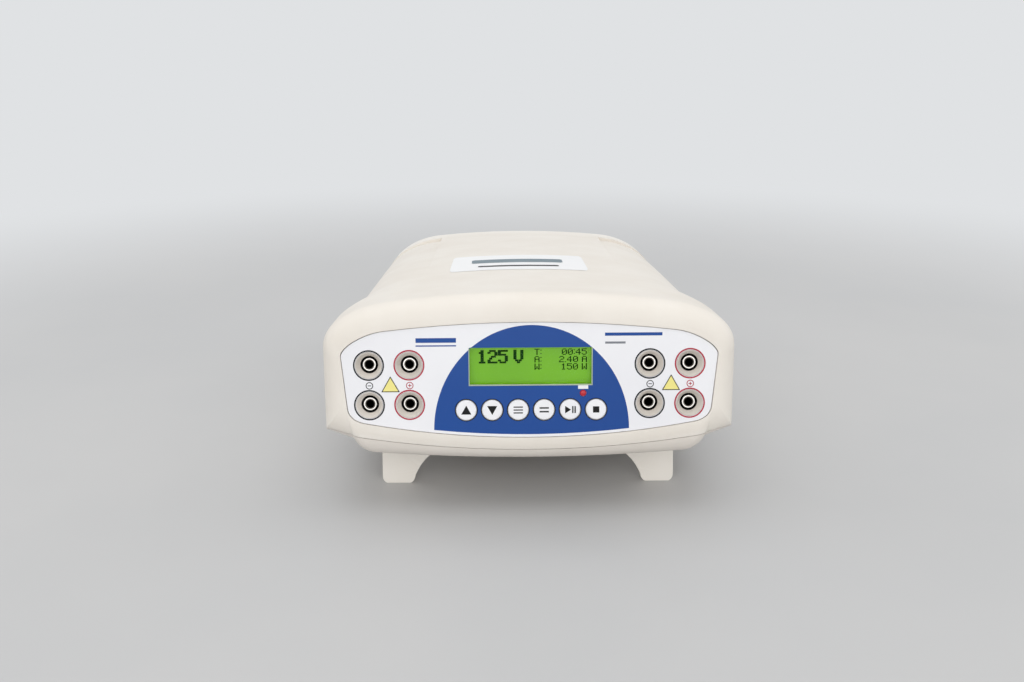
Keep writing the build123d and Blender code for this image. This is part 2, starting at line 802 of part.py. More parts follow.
# Fan: square frame with a bearing plate on three arms, and a seven-bladed rotor on a shaft
fan_front_y = rear_panel_y - fan_depth
with BuildPart() as fan_frame:
    with BuildSketch(Plane.XZ.offset(-fan_front_y)):
        with Locations(fan_place):
            RectangleRounded(fan_size, fan_size, fan_corner_radius)
            Circle(fan_bore_radius, mode=Mode.SUBTRACT)
        with Locations(*fan_corners):
            Circle(fan_screw_radius, mode=Mode.SUBTRACT)
    extrude(amount=-fan_depth)
    with BuildSketch(Plane.XZ.offset(-fan_front_y)):
        with Locations(fan_place):
            Circle(fan_hub_radius)
        with Locations(fan_place):
            with PolarLocations(fan_bore_radius / 2, 3, start_angle=90):
                Rectangle(fan_bore_radius + 1, fan_web * 1.5)
        with Locations(fan_place):
            Circle(fan_shaft_radius + pin_running_gap, mode=Mode.SUBTRACT)
    extrude(amount=-2 * fan_web)

rotor_front_y = fan_front_y + 2 * fan_web + 0.5
rotor_rear_y = rear_panel_y - 1.2
rotor_mid_y = (rotor_front_y + rotor_rear_y) / 2
with BuildPart() as fan_rotor:
    add(rear_bars(rotor_front_y, rotor_rear_y - rotor_front_y, fan_hub_radius, [fan_place]))
    add(rear_bars(fan_front_y + 0.5, rotor_front_y - fan_front_y, fan_shaft_radius, [fan_place]))
    with BuildPart(mode=Mode.PRIVATE) as blade:
        for radius, pitch_angle in ((fan_hub_radius - 1, 48), (fan_rotor_radius, 30)):
            tip = Plane(origin=(fan_x, rotor_mid_y, fan_z + radius), x_dir=(0, 1, 0), z_dir=(0, 0, 1))
            with BuildSketch(tip):
                Rectangle((rotor_rear_y - rotor_front_y - 1) / cos(radians(pitch_angle)), 1.2, rotation=pitch_angle)
        loft()
    for i in range(fan_blades):
        add(blade.part.rotate(Axis((fan_x, 0, fan_z), (0, 1, 0)), i * 360 / fan_blades))

with BuildPart() as fan_screws:
    add(rear_bars(rear_face_y, 1.8, fan_screw_head_radius, fan_corners))
    add(rear_bars(rear_face_y - fan_depth, fan_depth, fan_screw_radius, fan_corners))

# Mains inlet with its three blades, and the fuse drawer above it
inlet_face_y = rear_face_y + inlet_flange_thickness
inlet_front_y = rear_face_y - inlet_depth
recess_place = (inlet_x, inlet_z - recess_drop)
drawer_place = (inlet_x, inlet_z + drawer_rise)
drawer_width = fuse_length + fuse_clearance + 2 * (drawer_wall + drawer_clearance)
blade_places = [(inlet_x - blade_spread, inlet_z - recess_drop - 2), (inlet_x + blade_spread, inlet_z - recess_drop - 2),
                (inlet_x, inlet_z - recess_drop + 3)]
recess_floor_y = inlet_face_y - recess_depth

with BuildPart() as inlet_socket:
    add(behind(inlet_front_y, inlet_depth, inlet_width, inlet_height, (inlet_x, inlet_z)))
    add(behind(rear_face_y, inlet_flange_thickness, inlet_width + 2 * inlet_flange, inlet_height + 2 * inlet_flange,
               (inlet_x, inlet_z)))
    with BuildSketch(Plane.XZ.offset(-recess_floor_y)):
        with BuildLine():
            half_width = recess_width / 2
            half_height = recess_height / 2
            Polyline(*[
                (recess_place[0] + x, recess_place[1] + z)
                for x, z in (
                    (-half_width, -half_height),
                    (half_width, -half_height),
                    (half_width, half_height - recess_chamfer),
                    (half_width - recess_chamfer, half_height),
                    (recess_chamfer - half_width, half_height),
                    (-half_width, half_height - recess_chamfer),
                )
            ], close=True)
        make_face()
    extrude(amount=-recess_depth, mode=Mode.SUBTRACT)
    add(behind(inlet_face_y - drawer_depth, drawer_depth, drawer_width, drawer_height, drawer_place), mode=Mode.SUBTRACT)
    for place in blade_places:
        add(behind(inlet_front_y - 1, inlet_depth, blade_thickness, blade_height, place), mode=Mode.SUBTRACT)

with BuildPart() as inlet_blades:
    blade_end_y = inlet_face_y - blade_recess
    for place in blade_places:
        add(behind(inlet_front_y - blade_tail, blade_end_y - inlet_front_y + blade_tail, blade_thickness, blade_height, place))

drawer_back_y = inlet_face_y - drawer_depth + drawer_clearance
drawer_inner_width = drawer_width - 2 * drawer_clearance
drawer_inner_height = drawer_height - 2 * drawer_clearance
fuse_floor_z = drawer_place[1] - fuse_radius - fuse_clearance
with BuildPart() as fuse_drawer:
    drawer_length = inlet_face_y + drawer_clearance - drawer_back_y
    add(behind(drawer_back_y, drawer_length, drawer_inner_width, drawer_inner_height, drawer_place))
    with Locations((inlet_x, drawer_back_y + 1 + (drawer_length - 4) / 2, fuse_floor_z)):
        Box(fuse_length + fuse_clearance, drawer_length - 4, drawer_height, align=(Align.CENTER, Align.CENTER, Align.MIN), mode=Mode.SUBTRACT)
    add(behind(inlet_face_y + drawer_clearance, drawer_cap_thickness, drawer_width + 2, drawer_height + 1.5, drawer_place))

with BuildPart() as fuses:
    for y in (drawer_back_y + 1 + fuse_radius + 0.3, drawer_back_y + 1 + 3 * fuse_radius + 1.3):
        with Locations(Location((inlet_x, y, fuse_floor_z + fuse_radius), (0, 90, 0))):
            Cylinder(fuse_radius, fuse_length)

# Power switch: a framed well and a rocker on two stub pins, pressed at the top
with BuildPart() as switch_frame:
    switch_place = (switch_x, switch_z)
    add(behind(rear_face_y - switch_depth, switch_depth, switch_body_width, switch_body_size, switch_place))
    add(behind(rear_face_y, switch_flange_thickness, switch_body_width + 2 * switch_flange,
               switch_body_size + 2 * switch_flange, switch_place))
    add(behind(rear_face_y - switch_depth + 1, switch_depth + 5, switch_opening_width, 2 * switch_opening_half,
               switch_place), mode=Mode.SUBTRACT)
    with Locations(Location((switch_x, rocker_pivot_y, switch_z), (0, 90, 0))):
        Cylinder(rocker_pin_radius + pin_running_gap, switch_body_width + 1, mode=Mode.SUBTRACT)

with BuildPart() as rocker_level:
    with BuildSketch(Plane(origin=(switch_x - rocker_width / 2, rocker_pivot_y, switch_z), x_dir=(0, 1, 0), z_dir=(1, 0, 0))):
        with BuildLine():
            Polyline(
                (rocker_centre + rocker_rise, rocker_half_height),
                (rocker_centre, 0),
                (rocker_centre + rocker_rise, -rocker_half_height),
                (1.0, -rocker_half_height),
                (-3.5, -rocker_half_height + 3.5),
                (-3.5, rocker_half_height - 3.5),
                (1.0, rocker_half_height),
                close=True,
            )
        make_face()
    extrude(amount=rocker_width)
    with Locations(Location((switch_x, rocker_pivot_y, switch_z), (0, 90, 0))):
        Cylinder(rocker_pin_radius, switch_body_width - 2 * rocker_clearance)

with BuildPart() as power_rocker:
    add(rocker_level.part.rotate(Axis((switch_x, rocker_pivot_y, switch_z), (1, 0, 0)), rocker_throw))

# Rubber feet in their seats; their domed soles roll as the legs are folded
foot_apex_z = foot_seat_z - foot_height
foot_edge_z = foot_apex_z + foot_dome_radius - sqrt(foot_dome_radius ** 2 - foot_radius ** 2)
feet = {}
for name, (x, y) in foot_places.items():
    with BuildPart() as foot:
        with BuildSketch(Plane(origin=(x, y, 0), x_dir=(1, 0, 0), z_dir=(0, -1, 0))):
            with BuildLine():
                Polyline((0, foot_apex_z), (0, foot_seat_z), (foot_radius, foot_seat_z), (foot_radius, foot_edge_z))
                RadiusArc((foot_radius, foot_edge_z), (0, foot_apex_z), foot_dome_radius)
            make_face()
        revolve(axis=Axis((x, y, 0), (0, 0, 1)))
    feet[name] = foot.part

# Slope of the bench under the case, from the middle of the legs' soles to the rear feet
sole_y = leg_pivot_y - leg_drop * tan(radians(leg_lean))
sole_z = leg_pivot_z - leg_drop
reach_y = foot_rear_y - sole_y
reach_z = foot_apex_z + foot_dome_radius - sole_z
bench_slope = degrees(atan2(reach_z, reach_y) - asin(foot_dome_radius / sqrt(reach_y ** 2 + reach_z ** 2)))

# Legs: flared plates on a barrel, leaning past the upright so that the load holds them open
with BuildPart() as below_bench:
    with BuildSketch(Plane.YZ.offset(-leg_outer_x - 1)):
        with Locations((sole_y, sole_z)):
            Rectangle(4 * leg_drop, leg_drop, rotation=bench_slope, align=(Align.CENTER, Align.MAX))
    extrude(amount=2 * leg_outer_x + 2)

legs = {}
for side, sign in (("left", -1), ("right", 1)):
    outer = sign * leg_outer_x
    inner = sign * (leg_outer_x - leg_width)
    root = sign * (leg_outer_x - leg_root_width)
    toe = -leg_length - 1.0
    heel = toe + leg_toe_radius
    with BuildPart() as upright:
        with BuildSketch(Plane.XZ.offset(-leg_thickness / 2)):
            with BuildLine():
                Polyline((root, -leg_flare_start), (root, 0), (outer, 0), (outer, heel))
                RadiusArc((outer, heel), (outer - sign * leg_toe_radius, toe), sign * leg_toe_radius)
                Line((outer - sign * leg_toe_radius, toe), (inner + sign * leg_toe_radius, toe))
                RadiusArc((inner + sign * leg_toe_radius, toe), (inner, heel), sign * leg_toe_radius)
                Bezier(
                    (inner, heel),
                    (0.82 * inner + 0.18 * root, 0.67 * heel - 0.33 * leg_flare_start),
                    (0.53 * inner + 0.47 * root, 0.24 * heel - 0.76 * leg_flare_start),
                    (root, -leg_flare_start),
                )
            make_face()
        extrude(amount=leg_thickness)
        with Locations(Location((sign * leg_centre_x, 0, 0), (0, 90, 0))):
            Cylinder(leg_barrel_radius, leg_root_width)
            Cylinder(leg_pin_radius + pin_running_gap, leg_root_width + 1, mode=Mode.SUBTRACT)
    with BuildPart() as leg:
        add(upright.part.rotate(Axis.X, -leg_lean).translate((0, leg_pivot_y, leg_pivot_z)))
        add(below_bench.part, mode=Mode.SUBTRACT)
    legs[side] = leg.part

with BuildPart() as leg_pins:
    with Locations(*[Location((s * leg_centre_x, leg_pivot_y, leg_pivot_z), (0, 90, 0)) for s in (1, -1)]):
        Cylinder(leg_pin_radius, pocket_width + 2 * pin_seat)

# Screws of the case and of the boards
with BuildPart() as cover_screws:
    with Locations(*[(x, y, screw_seat_z) for x, y in boss_places]):
        Cylinder(screw_head_radius, screw_head_height, align=(Align.CENTER, Align.CENTER, Align.MAX))
        Cylinder(screw_radius, boss_joint_z + screw_reach - screw_seat_z, align=(Align.CENTER, Align.CENTER, Align.MIN))

main_board_top = main_board_z + board_thickness
control_board_back = control_board_depth + board_thickness
with BuildPart() as board_screws:
    with Locations(*[(x, y, main_board_top) for x, y in main_post_places]):
        Cylinder(board_screw_head, board_screw_head_height, align=(Align.CENTER, Align.CENTER, Align.MIN))
        Cylinder(board_screw_radius, board_screw_reach, align=(Align.CENTER, Align.CENTER, Align.MAX))
    add(plugs(post_places, board_screw_head, control_board_back, control_board_back + board_screw_head_height))
    add(plugs(post_places, board_screw_radius, control_board_back - board_screw_reach, control_board_back))

# Main board and what stands on it
with BuildPart() as main_board:
    with Locations((0, (main_board_front + main_board_rear) / 2, main_board_z)):
        Box(2 * main_board_half_width, main_board_length, board_thickness, align=(Align.CENTER, Align.CENTER, Align.MIN))
    with Locations(*[(x, y, main_board_z) for x, y in main_post_places]):
        Cylinder(board_screw_radius + screw_clearance, 3 * board_thickness, mode=Mode.SUBTRACT)

with BuildPart() as power_transformer:
    with Locations((transformer_x, transformer_y, main_board_top)):
        Box(*transformer_core, align=(Align.CENTER, Align.CENTER, Align.MIN))
    with Locations((transformer_x, transformer_y, main_board_top + transformer_core[2] / 2)):
        Box(*transformer_winding)
    fillet(power_transformer.edges().filter_by(Axis.Z), 2)

with BuildPart() as filter_capacitors:
    with Locations((capacitor_x, capacitor_y, main_board_top), (capacitor_x, capacitor_y - capacitor_pitch, main_board_top)):
        Cylinder(capacitor_radius, capacitor_height, align=(Align.CENTER, Align.CENTER, Align.MIN))

with BuildPart() as heatsink:
    with BuildSketch(Plane.XZ.offset(-heatsink_front)):
        with Locations((heatsink_x, main_board_top)):
            Rectangle(heatsink_web, heatsink_height, align=(Align.CENTER, Align.MIN))
        fin_pitch = (heatsink_height - heatsink_fin) / (heatsink_fins - 1)
        with Locations(*[(heatsink_x, main_board_top + i * fin_pitch) for i in range(heatsink_fins)]):
            Rectangle(heatsink_reach, heatsink_fin, align=(Align.MIN, Align.MIN))
    extrude(amount=-heatsink_length)

pieces = {
    "top_cover": top_cover.part,
    "bottom_housing": bottom_housing.part,
    "front_panel": front_panel.part,
    "panel_overlay": panel_overlay.part,
    "display_window": display_window.part,
    "lcd_bezel": lcd_bezel.part,
    "lcd_glass": lcd_glass.part,
    "control_board": control_board.part,
    "tact_switches": tact_switches.part,
    "run_led": run_led.part,
    "leg_left": legs["left"],
    "leg_right": legs["right"],
    "leg_pins": leg_pins.part,
    "cover_screws": cover_screws.part,
    "board_screws": board_screws.part,
    "main_board": main_board.part,
    "power_transformer": power_transformer.part,
    "filter_capacitors": filter_capacitors.part,
    "heatsink": heatsink.part,
    "rear_panel": rear_panel.part,
    "fan_frame": fan_frame.part,
    "fan_rotor": fan_rotor.part,
    "fan_screws": fan_screws.part,
    "inlet_socket": inlet_socket.part,
    "inlet_blades": inlet_blades.part,
    "fuse_drawer": fuse_drawer.part,
    "fuses": fuses.part,
    "switch_frame": switch_frame.part,
    "power_rocker": power_rocker.part,
}
pieces.update({f"key_{name}": piece for name, piece in keys.items()})
pieces.update({f"socket_body_{name}": piece for name, piece in socket_bodies.items()})
pieces.update({f"socket_contact_{name}": piece for name, piece in socket_contacts.items()})
pieces.update({f"output_board_{name}": piece for name, piece in output_boards.items()})
pieces.update({f"foot_{name}": piece for name, piece in feet.items()})

# On the bench: turn the case nose up by the bench's slope, then centre it over the origin
standing = {name: piece.rotate(Axis.X, -bench_slope) for name, piece in pieces.items()}
boxes = [piece.bounding_box() for piece in standing.values()]
low = [min(box.min.X for box in boxes), min(box.min.Y for box in boxes), min(box.min.Z for box in boxes)]
high = [max(box.max.X for box in boxes), max(box.max.Y for box in boxes)]
bench_shift = (-(low[0] + high[0]) / 2, -(low[1] + high[1]) / 2, -low[2])

for name, piece in standing.items():
    placed = piece.translate(bench_shift)
    placed.label = name
    export_step(placed, f"parts/{name}.step")
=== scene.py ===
import json
import math

import bmesh
import bpy
from mathutils import Matrix, Vector
from mathutils.bvhtree import BVHTree


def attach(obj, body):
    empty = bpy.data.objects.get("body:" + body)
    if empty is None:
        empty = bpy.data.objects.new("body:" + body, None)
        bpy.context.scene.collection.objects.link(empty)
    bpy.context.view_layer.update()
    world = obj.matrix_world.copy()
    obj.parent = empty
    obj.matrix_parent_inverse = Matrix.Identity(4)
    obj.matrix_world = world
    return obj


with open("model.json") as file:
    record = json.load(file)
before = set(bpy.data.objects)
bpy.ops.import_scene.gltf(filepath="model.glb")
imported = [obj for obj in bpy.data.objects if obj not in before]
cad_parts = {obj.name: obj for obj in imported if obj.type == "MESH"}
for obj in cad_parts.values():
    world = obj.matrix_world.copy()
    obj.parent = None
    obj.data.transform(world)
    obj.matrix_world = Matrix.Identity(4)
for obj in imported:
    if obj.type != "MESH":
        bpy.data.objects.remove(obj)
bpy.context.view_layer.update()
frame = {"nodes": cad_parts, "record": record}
record = frame["record"]
nodes = frame["nodes"]
MM = 0.001


# Colours
def rgb(r, g, b, a=1.0):
    """sRGB 0-255 to the linear colour the shaders take."""
    def lin(c):
        c = c / 255
        return c / 12.92 if c <= 0.04045 else ((c + 0.055) / 1.055) ** 2.4
    return (lin(r), lin(g), lin(b), a)


# Panel frame, taken from the socket mounts
sockets = {m["name"]: m for m in record["mounts"] if m["name"].startswith("banana_socket")}
panel_out = Vector(next(iter(sockets.values()))["axis"]).normalized()
panel_right = Vector((1, 0, 0))
panel_up = panel_out.cross(panel_right).normalized()
mouth_mean = sum((Vector(m["pos_m"]) for m in sockets.values()), Vector()) / len(sockets)
SOCKET_RECESS = 3.2 * MM
panel_origin = mouth_mean + panel_out * SOCKET_RECESS + panel_up * 2.0 * MM


def panel_point(u, v, lift=0.0):
    """World point at u right and v up on the panel's face, in millimetres, lifted out of it."""
    return panel_origin + panel_right * (u * MM) + panel_up * (v * MM) + panel_out * (lift * MM)


# Material helpers
def new_material(name):
    material = bpy.data.materials.new(name)
    material.use_nodes = True
    tree = material.node_tree
    tree.nodes.clear()
    out = tree.nodes.new("ShaderNodeOutputMaterial")
    shader = tree.nodes.new("ShaderNodeBsdfPrincipled")
    tree.links.new(shader.outputs["BSDF"], out.inputs["Surface"])
    return material, tree, shader


def node(tree, kind, **values):
    made = tree.nodes.new(kind)
    for key, value in values.items():
        if hasattr(made, key):
            setattr(made, key, value)
        else:
            made.inputs[key.replace("_", " ")].default_value = value
    return made


def object_noise(tree, scale, detail=3.0, rough=0.5):
    coords = tree.nodes.new("ShaderNodeTexCoord")
    noise = node(tree, "ShaderNodeTexNoise", Scale=scale, Detail=detail, Roughness=rough)
    tree.links.new(coords.outputs["Object"], noise.inputs["Vector"])
    return noise.outputs["Fac"]


def ramp(tree, source, low, high, a, b):
    made = tree.nodes.new("ShaderNodeMapRange")
    made.inputs["From Min"].default_value = low
    made.inputs["From Max"].default_value = high
    made.inputs["To Min"].default_value = a
    made.inputs["To Max"].default_value = b
    tree.links.new(source, made.inputs["Value"])
    return made.outputs["Result"]


def mix_colour(tree, factor, first, second):
    made = tree.nodes.new("ShaderNodeMix")
    made.data_type = "RGBA"
    tree.links.new(factor, made.inputs["Factor"])
    for socket, value in ((made.inputs[6], first), (made.inputs[7], second)):
        if isinstance(value, tuple):
            socket.default_value = value
        else:
            tree.links.new(value, socket)
    return made.outputs[2]


def bump_chain(tree, shader, layers, edge=0.0):
    """Chain of bumps, each (height source, distance in metres, strength), over softened edges."""
    normal = None
    if edge:
        bevel = node(tree, "ShaderNodeBevel", samples=6, Radius=edge)
        normal = bevel.outputs["Normal"]
    for height, distance, strength in layers:
        bump = node(tree, "ShaderNodeBump", Distance=distance, Strength=strength)
        tree.links.new(height, bump.inputs["Height"])
        if normal:
            tree.links.new(normal, bump.inputs["Normal"])
        normal = bump.outputs["Normal"]
    if normal:
        tree.links.new(normal, shader.inputs["Normal"])


def shade_by_depth(tree, colour, near, far, dark):
    """Colour that turns dark between two depths behind the panel's face, in millimetres: painted shade down a
    recess.
    """
    coords = tree.nodes.new("ShaderNodeTexCoord")
    project = node(tree, "ShaderNodeVectorMath", operation="DOT_PRODUCT")
    project.inputs[1].default_value = tuple(panel_out)
    tree.links.new(coords.outputs["Object"], project.inputs[0])
    face = panel_origin.dot(panel_out)
    depth = ramp(tree, project.outputs["Value"], face - near * MM, face - far * MM, 0.0, 1.0)
    return mix_colour(tree, depth, colour, dark)


def plastic(name, colour, shade, rough=(0.42, 0.55), grain=900.0, grain_depth=0.00003, smudge=26.0,
            edge=0.00035, specular=0.5, edge_highlight=None, depth_shade=None):
    """Moulded plastic: fine texture, faint smudges, a painted highlight of a paler or darker colour on sharp
    convex edges, and painted shade deeper behind the panel's face.
    """
    material, tree, shader = new_material(name)
    broad = object_noise(tree, smudge, 4.0, 0.6)
    fine = object_noise(tree, grain, 2.0, 0.5)
    colour_out = mix_colour(tree, ramp(tree, broad, 0.35, 0.7, 0.0, 1.0), colour, shade)
    # Painted highlight: the edge colour is mixed in on sharp convex edges, found by pointiness.
    if edge_highlight:
        geometry = tree.nodes.new("ShaderNodeNewGeometry")
        rim = ramp(tree, geometry.outputs["Pointiness"], 0.52, 0.6, 0.0, 0.6)
        colour_out = mix_colour(tree, rim, colour_out, edge_highlight)
    # Painted shade: darker with depth behind the panel's face.
    if depth_shade:
        colour_out = shade_by_depth(tree, colour_out, *depth_shade)
    tree.links.new(colour_out, shader.inputs["Base Color"])
    tree.links.new(ramp(tree, broad, 0.3, 0.7, *rough), shader.inputs["Roughness"])
    shader.inputs["Specular IOR Level"].default_value = specular
    bump_chain(tree, shader, [(fine, grain_depth, 0.6)], edge)
    return material


def metal(name, colour, shade, rough=(0.22, 0.4), grain=(400.0, 400.0, 30.0), edge=0.0002, depth_shade=None):
    """Plated or brushed metal with stretched grain and a little tarnish."""
    material, tree, shader = new_material(name)
    coords = tree.nodes.new("ShaderNodeTexCoord")
    mapping = tree.nodes.new("ShaderNodeMapping")
    mapping.inputs["Scale"].default_value = grain
    tree.links.new(coords.outputs["Object"], mapping.inputs["Vector"])
    noise = node(tree, "ShaderNodeTexNoise", Scale=4.0, Detail=3.0)
    tree.links.new(mapping.outputs["Vector"], noise.inputs["Vector"])
    broad = object_noise(tree, 60.0, 3.0)
    colour_out = mix_colour(tree, ramp(tree, broad, 0.35, 0.7, 0.0, 1.0), colour, shade)
    # Painted shade: darker with depth behind the panel's face.
    if depth_shade:
        colour_out = shade_by_depth(tree, colour_out, *depth_shade)
    tree.links.new(colour_out, shader.inputs["Base Color"])
    tree.links.new(ramp(tree, noise.outputs["Fac"], 0.3, 0.7, *rough), shader.inputs["Roughness"])
    shader.inputs["Metallic"].default_value = 1.0
    bump_chain(tree, shader, [(noise.outputs["Fac"], 0.00001, 0.4)], edge)
    return material


def glow(name, colour, shade, strength, rough=0.3):
    """Lit surface with a soft unevenness."""
    material, tree, shader = new_material(name)
    broad = object_noise(tree, 30.0, 2.0)
    colour_out = mix_colour(tree, ramp(tree, broad, 0.3, 0.7, 0.0, 1.0), colour, shade)
    tree.links.new(colour_out, shader.inputs["Base Color"])
    tree.links.new(colour_out, shader.inputs["Emission Color"])
    shader.inputs["Emission Strength"].default_value = strength
    shader.inputs["Roughness"].default_value = rough
    return material


def clear(name, colour, rough=0.03):
    """Thin clear plastic or glass."""
    material, tree, shader = new_material(name)
    scratch = object_noise(tree, 300.0, 4.0, 0.7)
    shader.inputs["Base Color"].default_value = colour
    tree.links.new(ramp(tree, scratch, 0.4, 0.7, rough, rough + 0.08), shader.inputs["Roughness"])
    shader.inputs["Transmission Weight"].default_value = 1.0
    shader.inputs["IOR"].default_value = 1.05
    return material


# Paler colour on sharp edges: a painted highlight.
IVORY = plastic("ivory_plastic", rgb(233, 227, 218), rgb(228, 221, 211), rough=(0.46, 0.58), grain=1400.0,
                grain_depth=0.00002, edge_highlight=rgb(240, 236, 229))
PALE = plastic("pale_housing_plastic", rgb(233, 226, 218), rgb(227, 220, 211), rough=(0.48, 0.6),
               grain=1400.0,
               grain_depth=0.00002)
FILM = plastic("white_film", rgb(240, 240, 243), rgb(234, 234, 238), rough=(0.28, 0.36), grain=2500.0,
               grain_depth=0.000006, smudge=14.0, edge=0.0001)
BLUE = plastic("blue_print", rgb(15, 72, 149), rgb(12, 66, 141), rough=(0.3, 0.38), grain=2500.0,
               grain_depth=0.000006, smudge=14.0, edge=0.0, specular=0.3)
BLACK_INK = plastic("black_print", rgb(12, 12, 14), rgb(20, 20, 23), rough=(0.4, 0.5), grain=2500.0,
                    grain_depth=0.000004, edge=0.0, specular=0.2)
RED_INK = plastic("red_print", rgb(178, 48, 66), rgb(170, 42, 60), rough=(0.4, 0.5), grain=2500.0,
                  grain_depth=0.000004, edge=0.0, specular=0.2)
YELLOW = plastic("yellow_print", rgb(243, 232, 142), rgb(238, 226, 132), rough=(0.3, 0.4), grain=2500.0,
                 grain_depth=0.000004, edge=0.0)
GREY_INK = plastic("grey_print", rgb(120, 124, 132), rgb(132, 136, 144), rough=(0.35, 0.45), grain=2500.0,
                   grain_depth=0.000004, edge=0.0)
LABEL_PAPER = plastic("label_paper", rgb(240, 240, 240), rgb(236, 236, 236), rough=(0.6, 0.7), grain=1800.0,
                      grain_depth=0.000008, edge=0.0, specular=0.2)
LABEL_BAR = plastic("label_bar_print", rgb(96, 118, 128), rgb(88, 110, 120), rough=(0.35, 0.45), grain=2500.0,
                    grain_depth=0.000004, edge=0.0)
# Paler colour on sharp edges: a painted highlight.
WHITE_KEY = plastic("white_key_plastic", rgb(240, 240, 243), rgb(232, 232, 236), rough=(0.3, 0.4),
                    grain=1800.0,
                    grain_depth=0.00001, edge=0.0003, edge_highlight=rgb(246, 246, 248))
# Painted shade: the socket's funnel turns near black from 3.15 to 3.8 mm behind the panel's face.
SOCKET_GREY = plastic("socket_grey_plastic", rgb(230, 223, 214), rgb(208, 200, 190), rough=(0.3, 0.42),
                      grain=1200.0,
                      grain_depth=0.00001, edge=0.0003, depth_shade=(3.15, 3.8, rgb(12, 11, 11)))
# Paler grey on sharp edges: a painted highlight.
BLACK = plastic("black_plastic", rgb(26, 26, 28), rgb(36, 36, 38), rough=(0.4, 0.55), grain=1000.0,
                edge=0.0003,
                edge_highlight=rgb(60, 60, 62))
RUBBER = plastic("foot_rubber", rgb(24, 24, 24), rgb(40, 39, 37), rough=(0.7, 0.85), grain=700.0,
                 grain_depth=0.00005,
                 specular=0.25)
BOARD = plastic("circuit_board_green", rgb(18, 84, 46), rgb(14, 70, 38), rough=(0.3, 0.4), grain=500.0,
                edge=0.0001)
SLEEVE = plastic("capacitor_sleeve_blue", rgb(24, 34, 74), rgb(20, 28, 62), rough=(0.25, 0.35), edge=0.0003)
# Paler colour on sharp edges: a painted highlight.
REAR_PAINT = plastic("rear_panel_paint", rgb(212, 209, 202), rgb(204, 200, 193), rough=(0.42, 0.5),
                     grain=1500.0,
                     grain_depth=0.00003, edge=0.0002, edge_highlight=rgb(226, 224, 218))
VARNISH = plastic("transformer_varnish", rgb(70, 60, 48), rgb(96, 84, 66), rough=(0.25, 0.4), edge=0.0004)
NICKEL = metal("nickel_plate", rgb(214, 210, 200), rgb(186, 180, 168))
# Painted shade: the contact tube turns near black from 3.3 to 4.4 mm behind the panel's face.
CONTACT = metal("contact_nickel", rgb(246, 243, 238), rgb(232, 228, 222), rough=(0.34, 0.46),
                depth_shade=(3.3, 4.4, rgb(14, 13, 12)))
STEEL = metal("zinc_screw_steel", rgb(198, 198, 196), rgb(168, 168, 166))
# Painted shade: dark metal for the flat rings laid at the contact mouths, standing in for the bore's shaded
# chamfer.
MOUTH_SHADE_METAL = metal("contact_mouth_painted_shade", rgb(92, 88, 82), rgb(70, 66, 60), rough=(0.4, 0.5))
ANODISED = metal("anodised_heatsink", rgb(60, 62, 66), rgb(78, 80, 84), rough=(0.35, 0.5))
BEZEL = plastic("display_frame_paint", rgb(176, 190, 170), rgb(166, 180, 160), rough=(0.3, 0.4), edge=0.0002)
LCD = glow("display_backlight", rgb(104, 163, 4), rgb(97, 154, 3), 0.32)
LCD_INK = plastic("display_segments", rgb(8, 48, 4), rgb(12, 56, 6), rough=(0.5, 0.6), edge=0.0, specular=0.1)
LAMP = glow("red_lamp", rgb(176, 24, 42), rgb(160, 16, 34), 0.22)
WINDOW = clear("window_plastic", (0.96, 1.0, 0.96, 1.0))
FUSE_GLASS = clear("fuse_glass", (0.95, 0.97, 0.95, 1.0), 0.05)

by_slot = {
    "case_plastic": IVORY, "printed_film": FILM, "clear_window": WINDOW, "display_frame": BEZEL,
    "display_glass": LCD, "circuit_board": BOARD, "black_plastic": BLACK, "red_lamp": LAMP,
    "screw_steel": STEEL,
    "transformer_steel": VARNISH, "capacitor_sleeve": SLEEVE, "heatsink_aluminium": ANODISED,
    "panel_metal": REAR_PAINT, "plated_brass": NICKEL, "fuse_glass": FUSE_GLASS, "key_plastic": WHITE_KEY,
    "socket_plastic": SOCKET_GREY, "foot_rubber": RUBBER,
}
slot_of = {s["node"]: s["material_slot"] for s in record["subparts"]}
for name, obj in nodes.items():
    material = by_slot[slot_of[name]]
    if name == "bottom_housing":
        material = PALE
    elif name.startswith("socket_contact"):
        material = CONTACT
    for slot in obj.material_slots:
        slot.material = material


def printed_piece(name, bm, material, body="case"):
    """Object of a finished mesh, printed on the named body."""
    mesh = bpy.data.meshes.new(name)
    bm.to_mesh(mesh)
    bm.free()
    obj = bpy.data.objects.new(name, mesh)
    bpy.context.scene.collection.objects.link(obj)
    obj.data.materials.append(material)
    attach(obj, body)
    return obj


# Flat printed marks, a film's thickness above the surface they lie on
PRINT_THICKNESS = 0.03


def mark(name, outlines, material, body="case", lift=0.04, thickness=PRINT_THICKNESS):
    """Printed mark from closed outlines in millimetres; an outline given as a pair is a ring with a hole."""
    bm = bmesh.new()
    for outline in outlines:
        if isinstance(outline, tuple):
            outer, inner = outline
            rows = [[bm.verts.new(panel_point(u, v, lift)) for u, v in ring] for ring in (outer, inner)]
            count = len(outer)
            for i in range(count):
                j = (i + 1) % count
                bm.faces.new((rows[0][i], rows[0][j], rows[1][j], rows[1][i]))
        else:
            bm.faces.new([bm.verts.new(panel_point(u, v, lift)) for u, v in outline])
    top = list(bm.faces)
    grown = bmesh.ops.extrude_face_region(bm, geom=top)
    verts = [g for g in grown["geom"] if isinstance(g, bmesh.types.BMVert)]
    for vert in verts:
        vert.co -= panel_out * (thickness * MM)
    bmesh.ops.recalc_face_normals(bm, faces=bm.faces)
    return printed_piece(name, bm, material, body)


def circle(u, v, radius, count=64, start=0.0, sweep=360.0):
    return [(u + radius * math.cos(math.radians(start + sweep * i / count)),
             v + radius * math.sin(math.radians(start + sweep * i / count))) for i in range(count)]


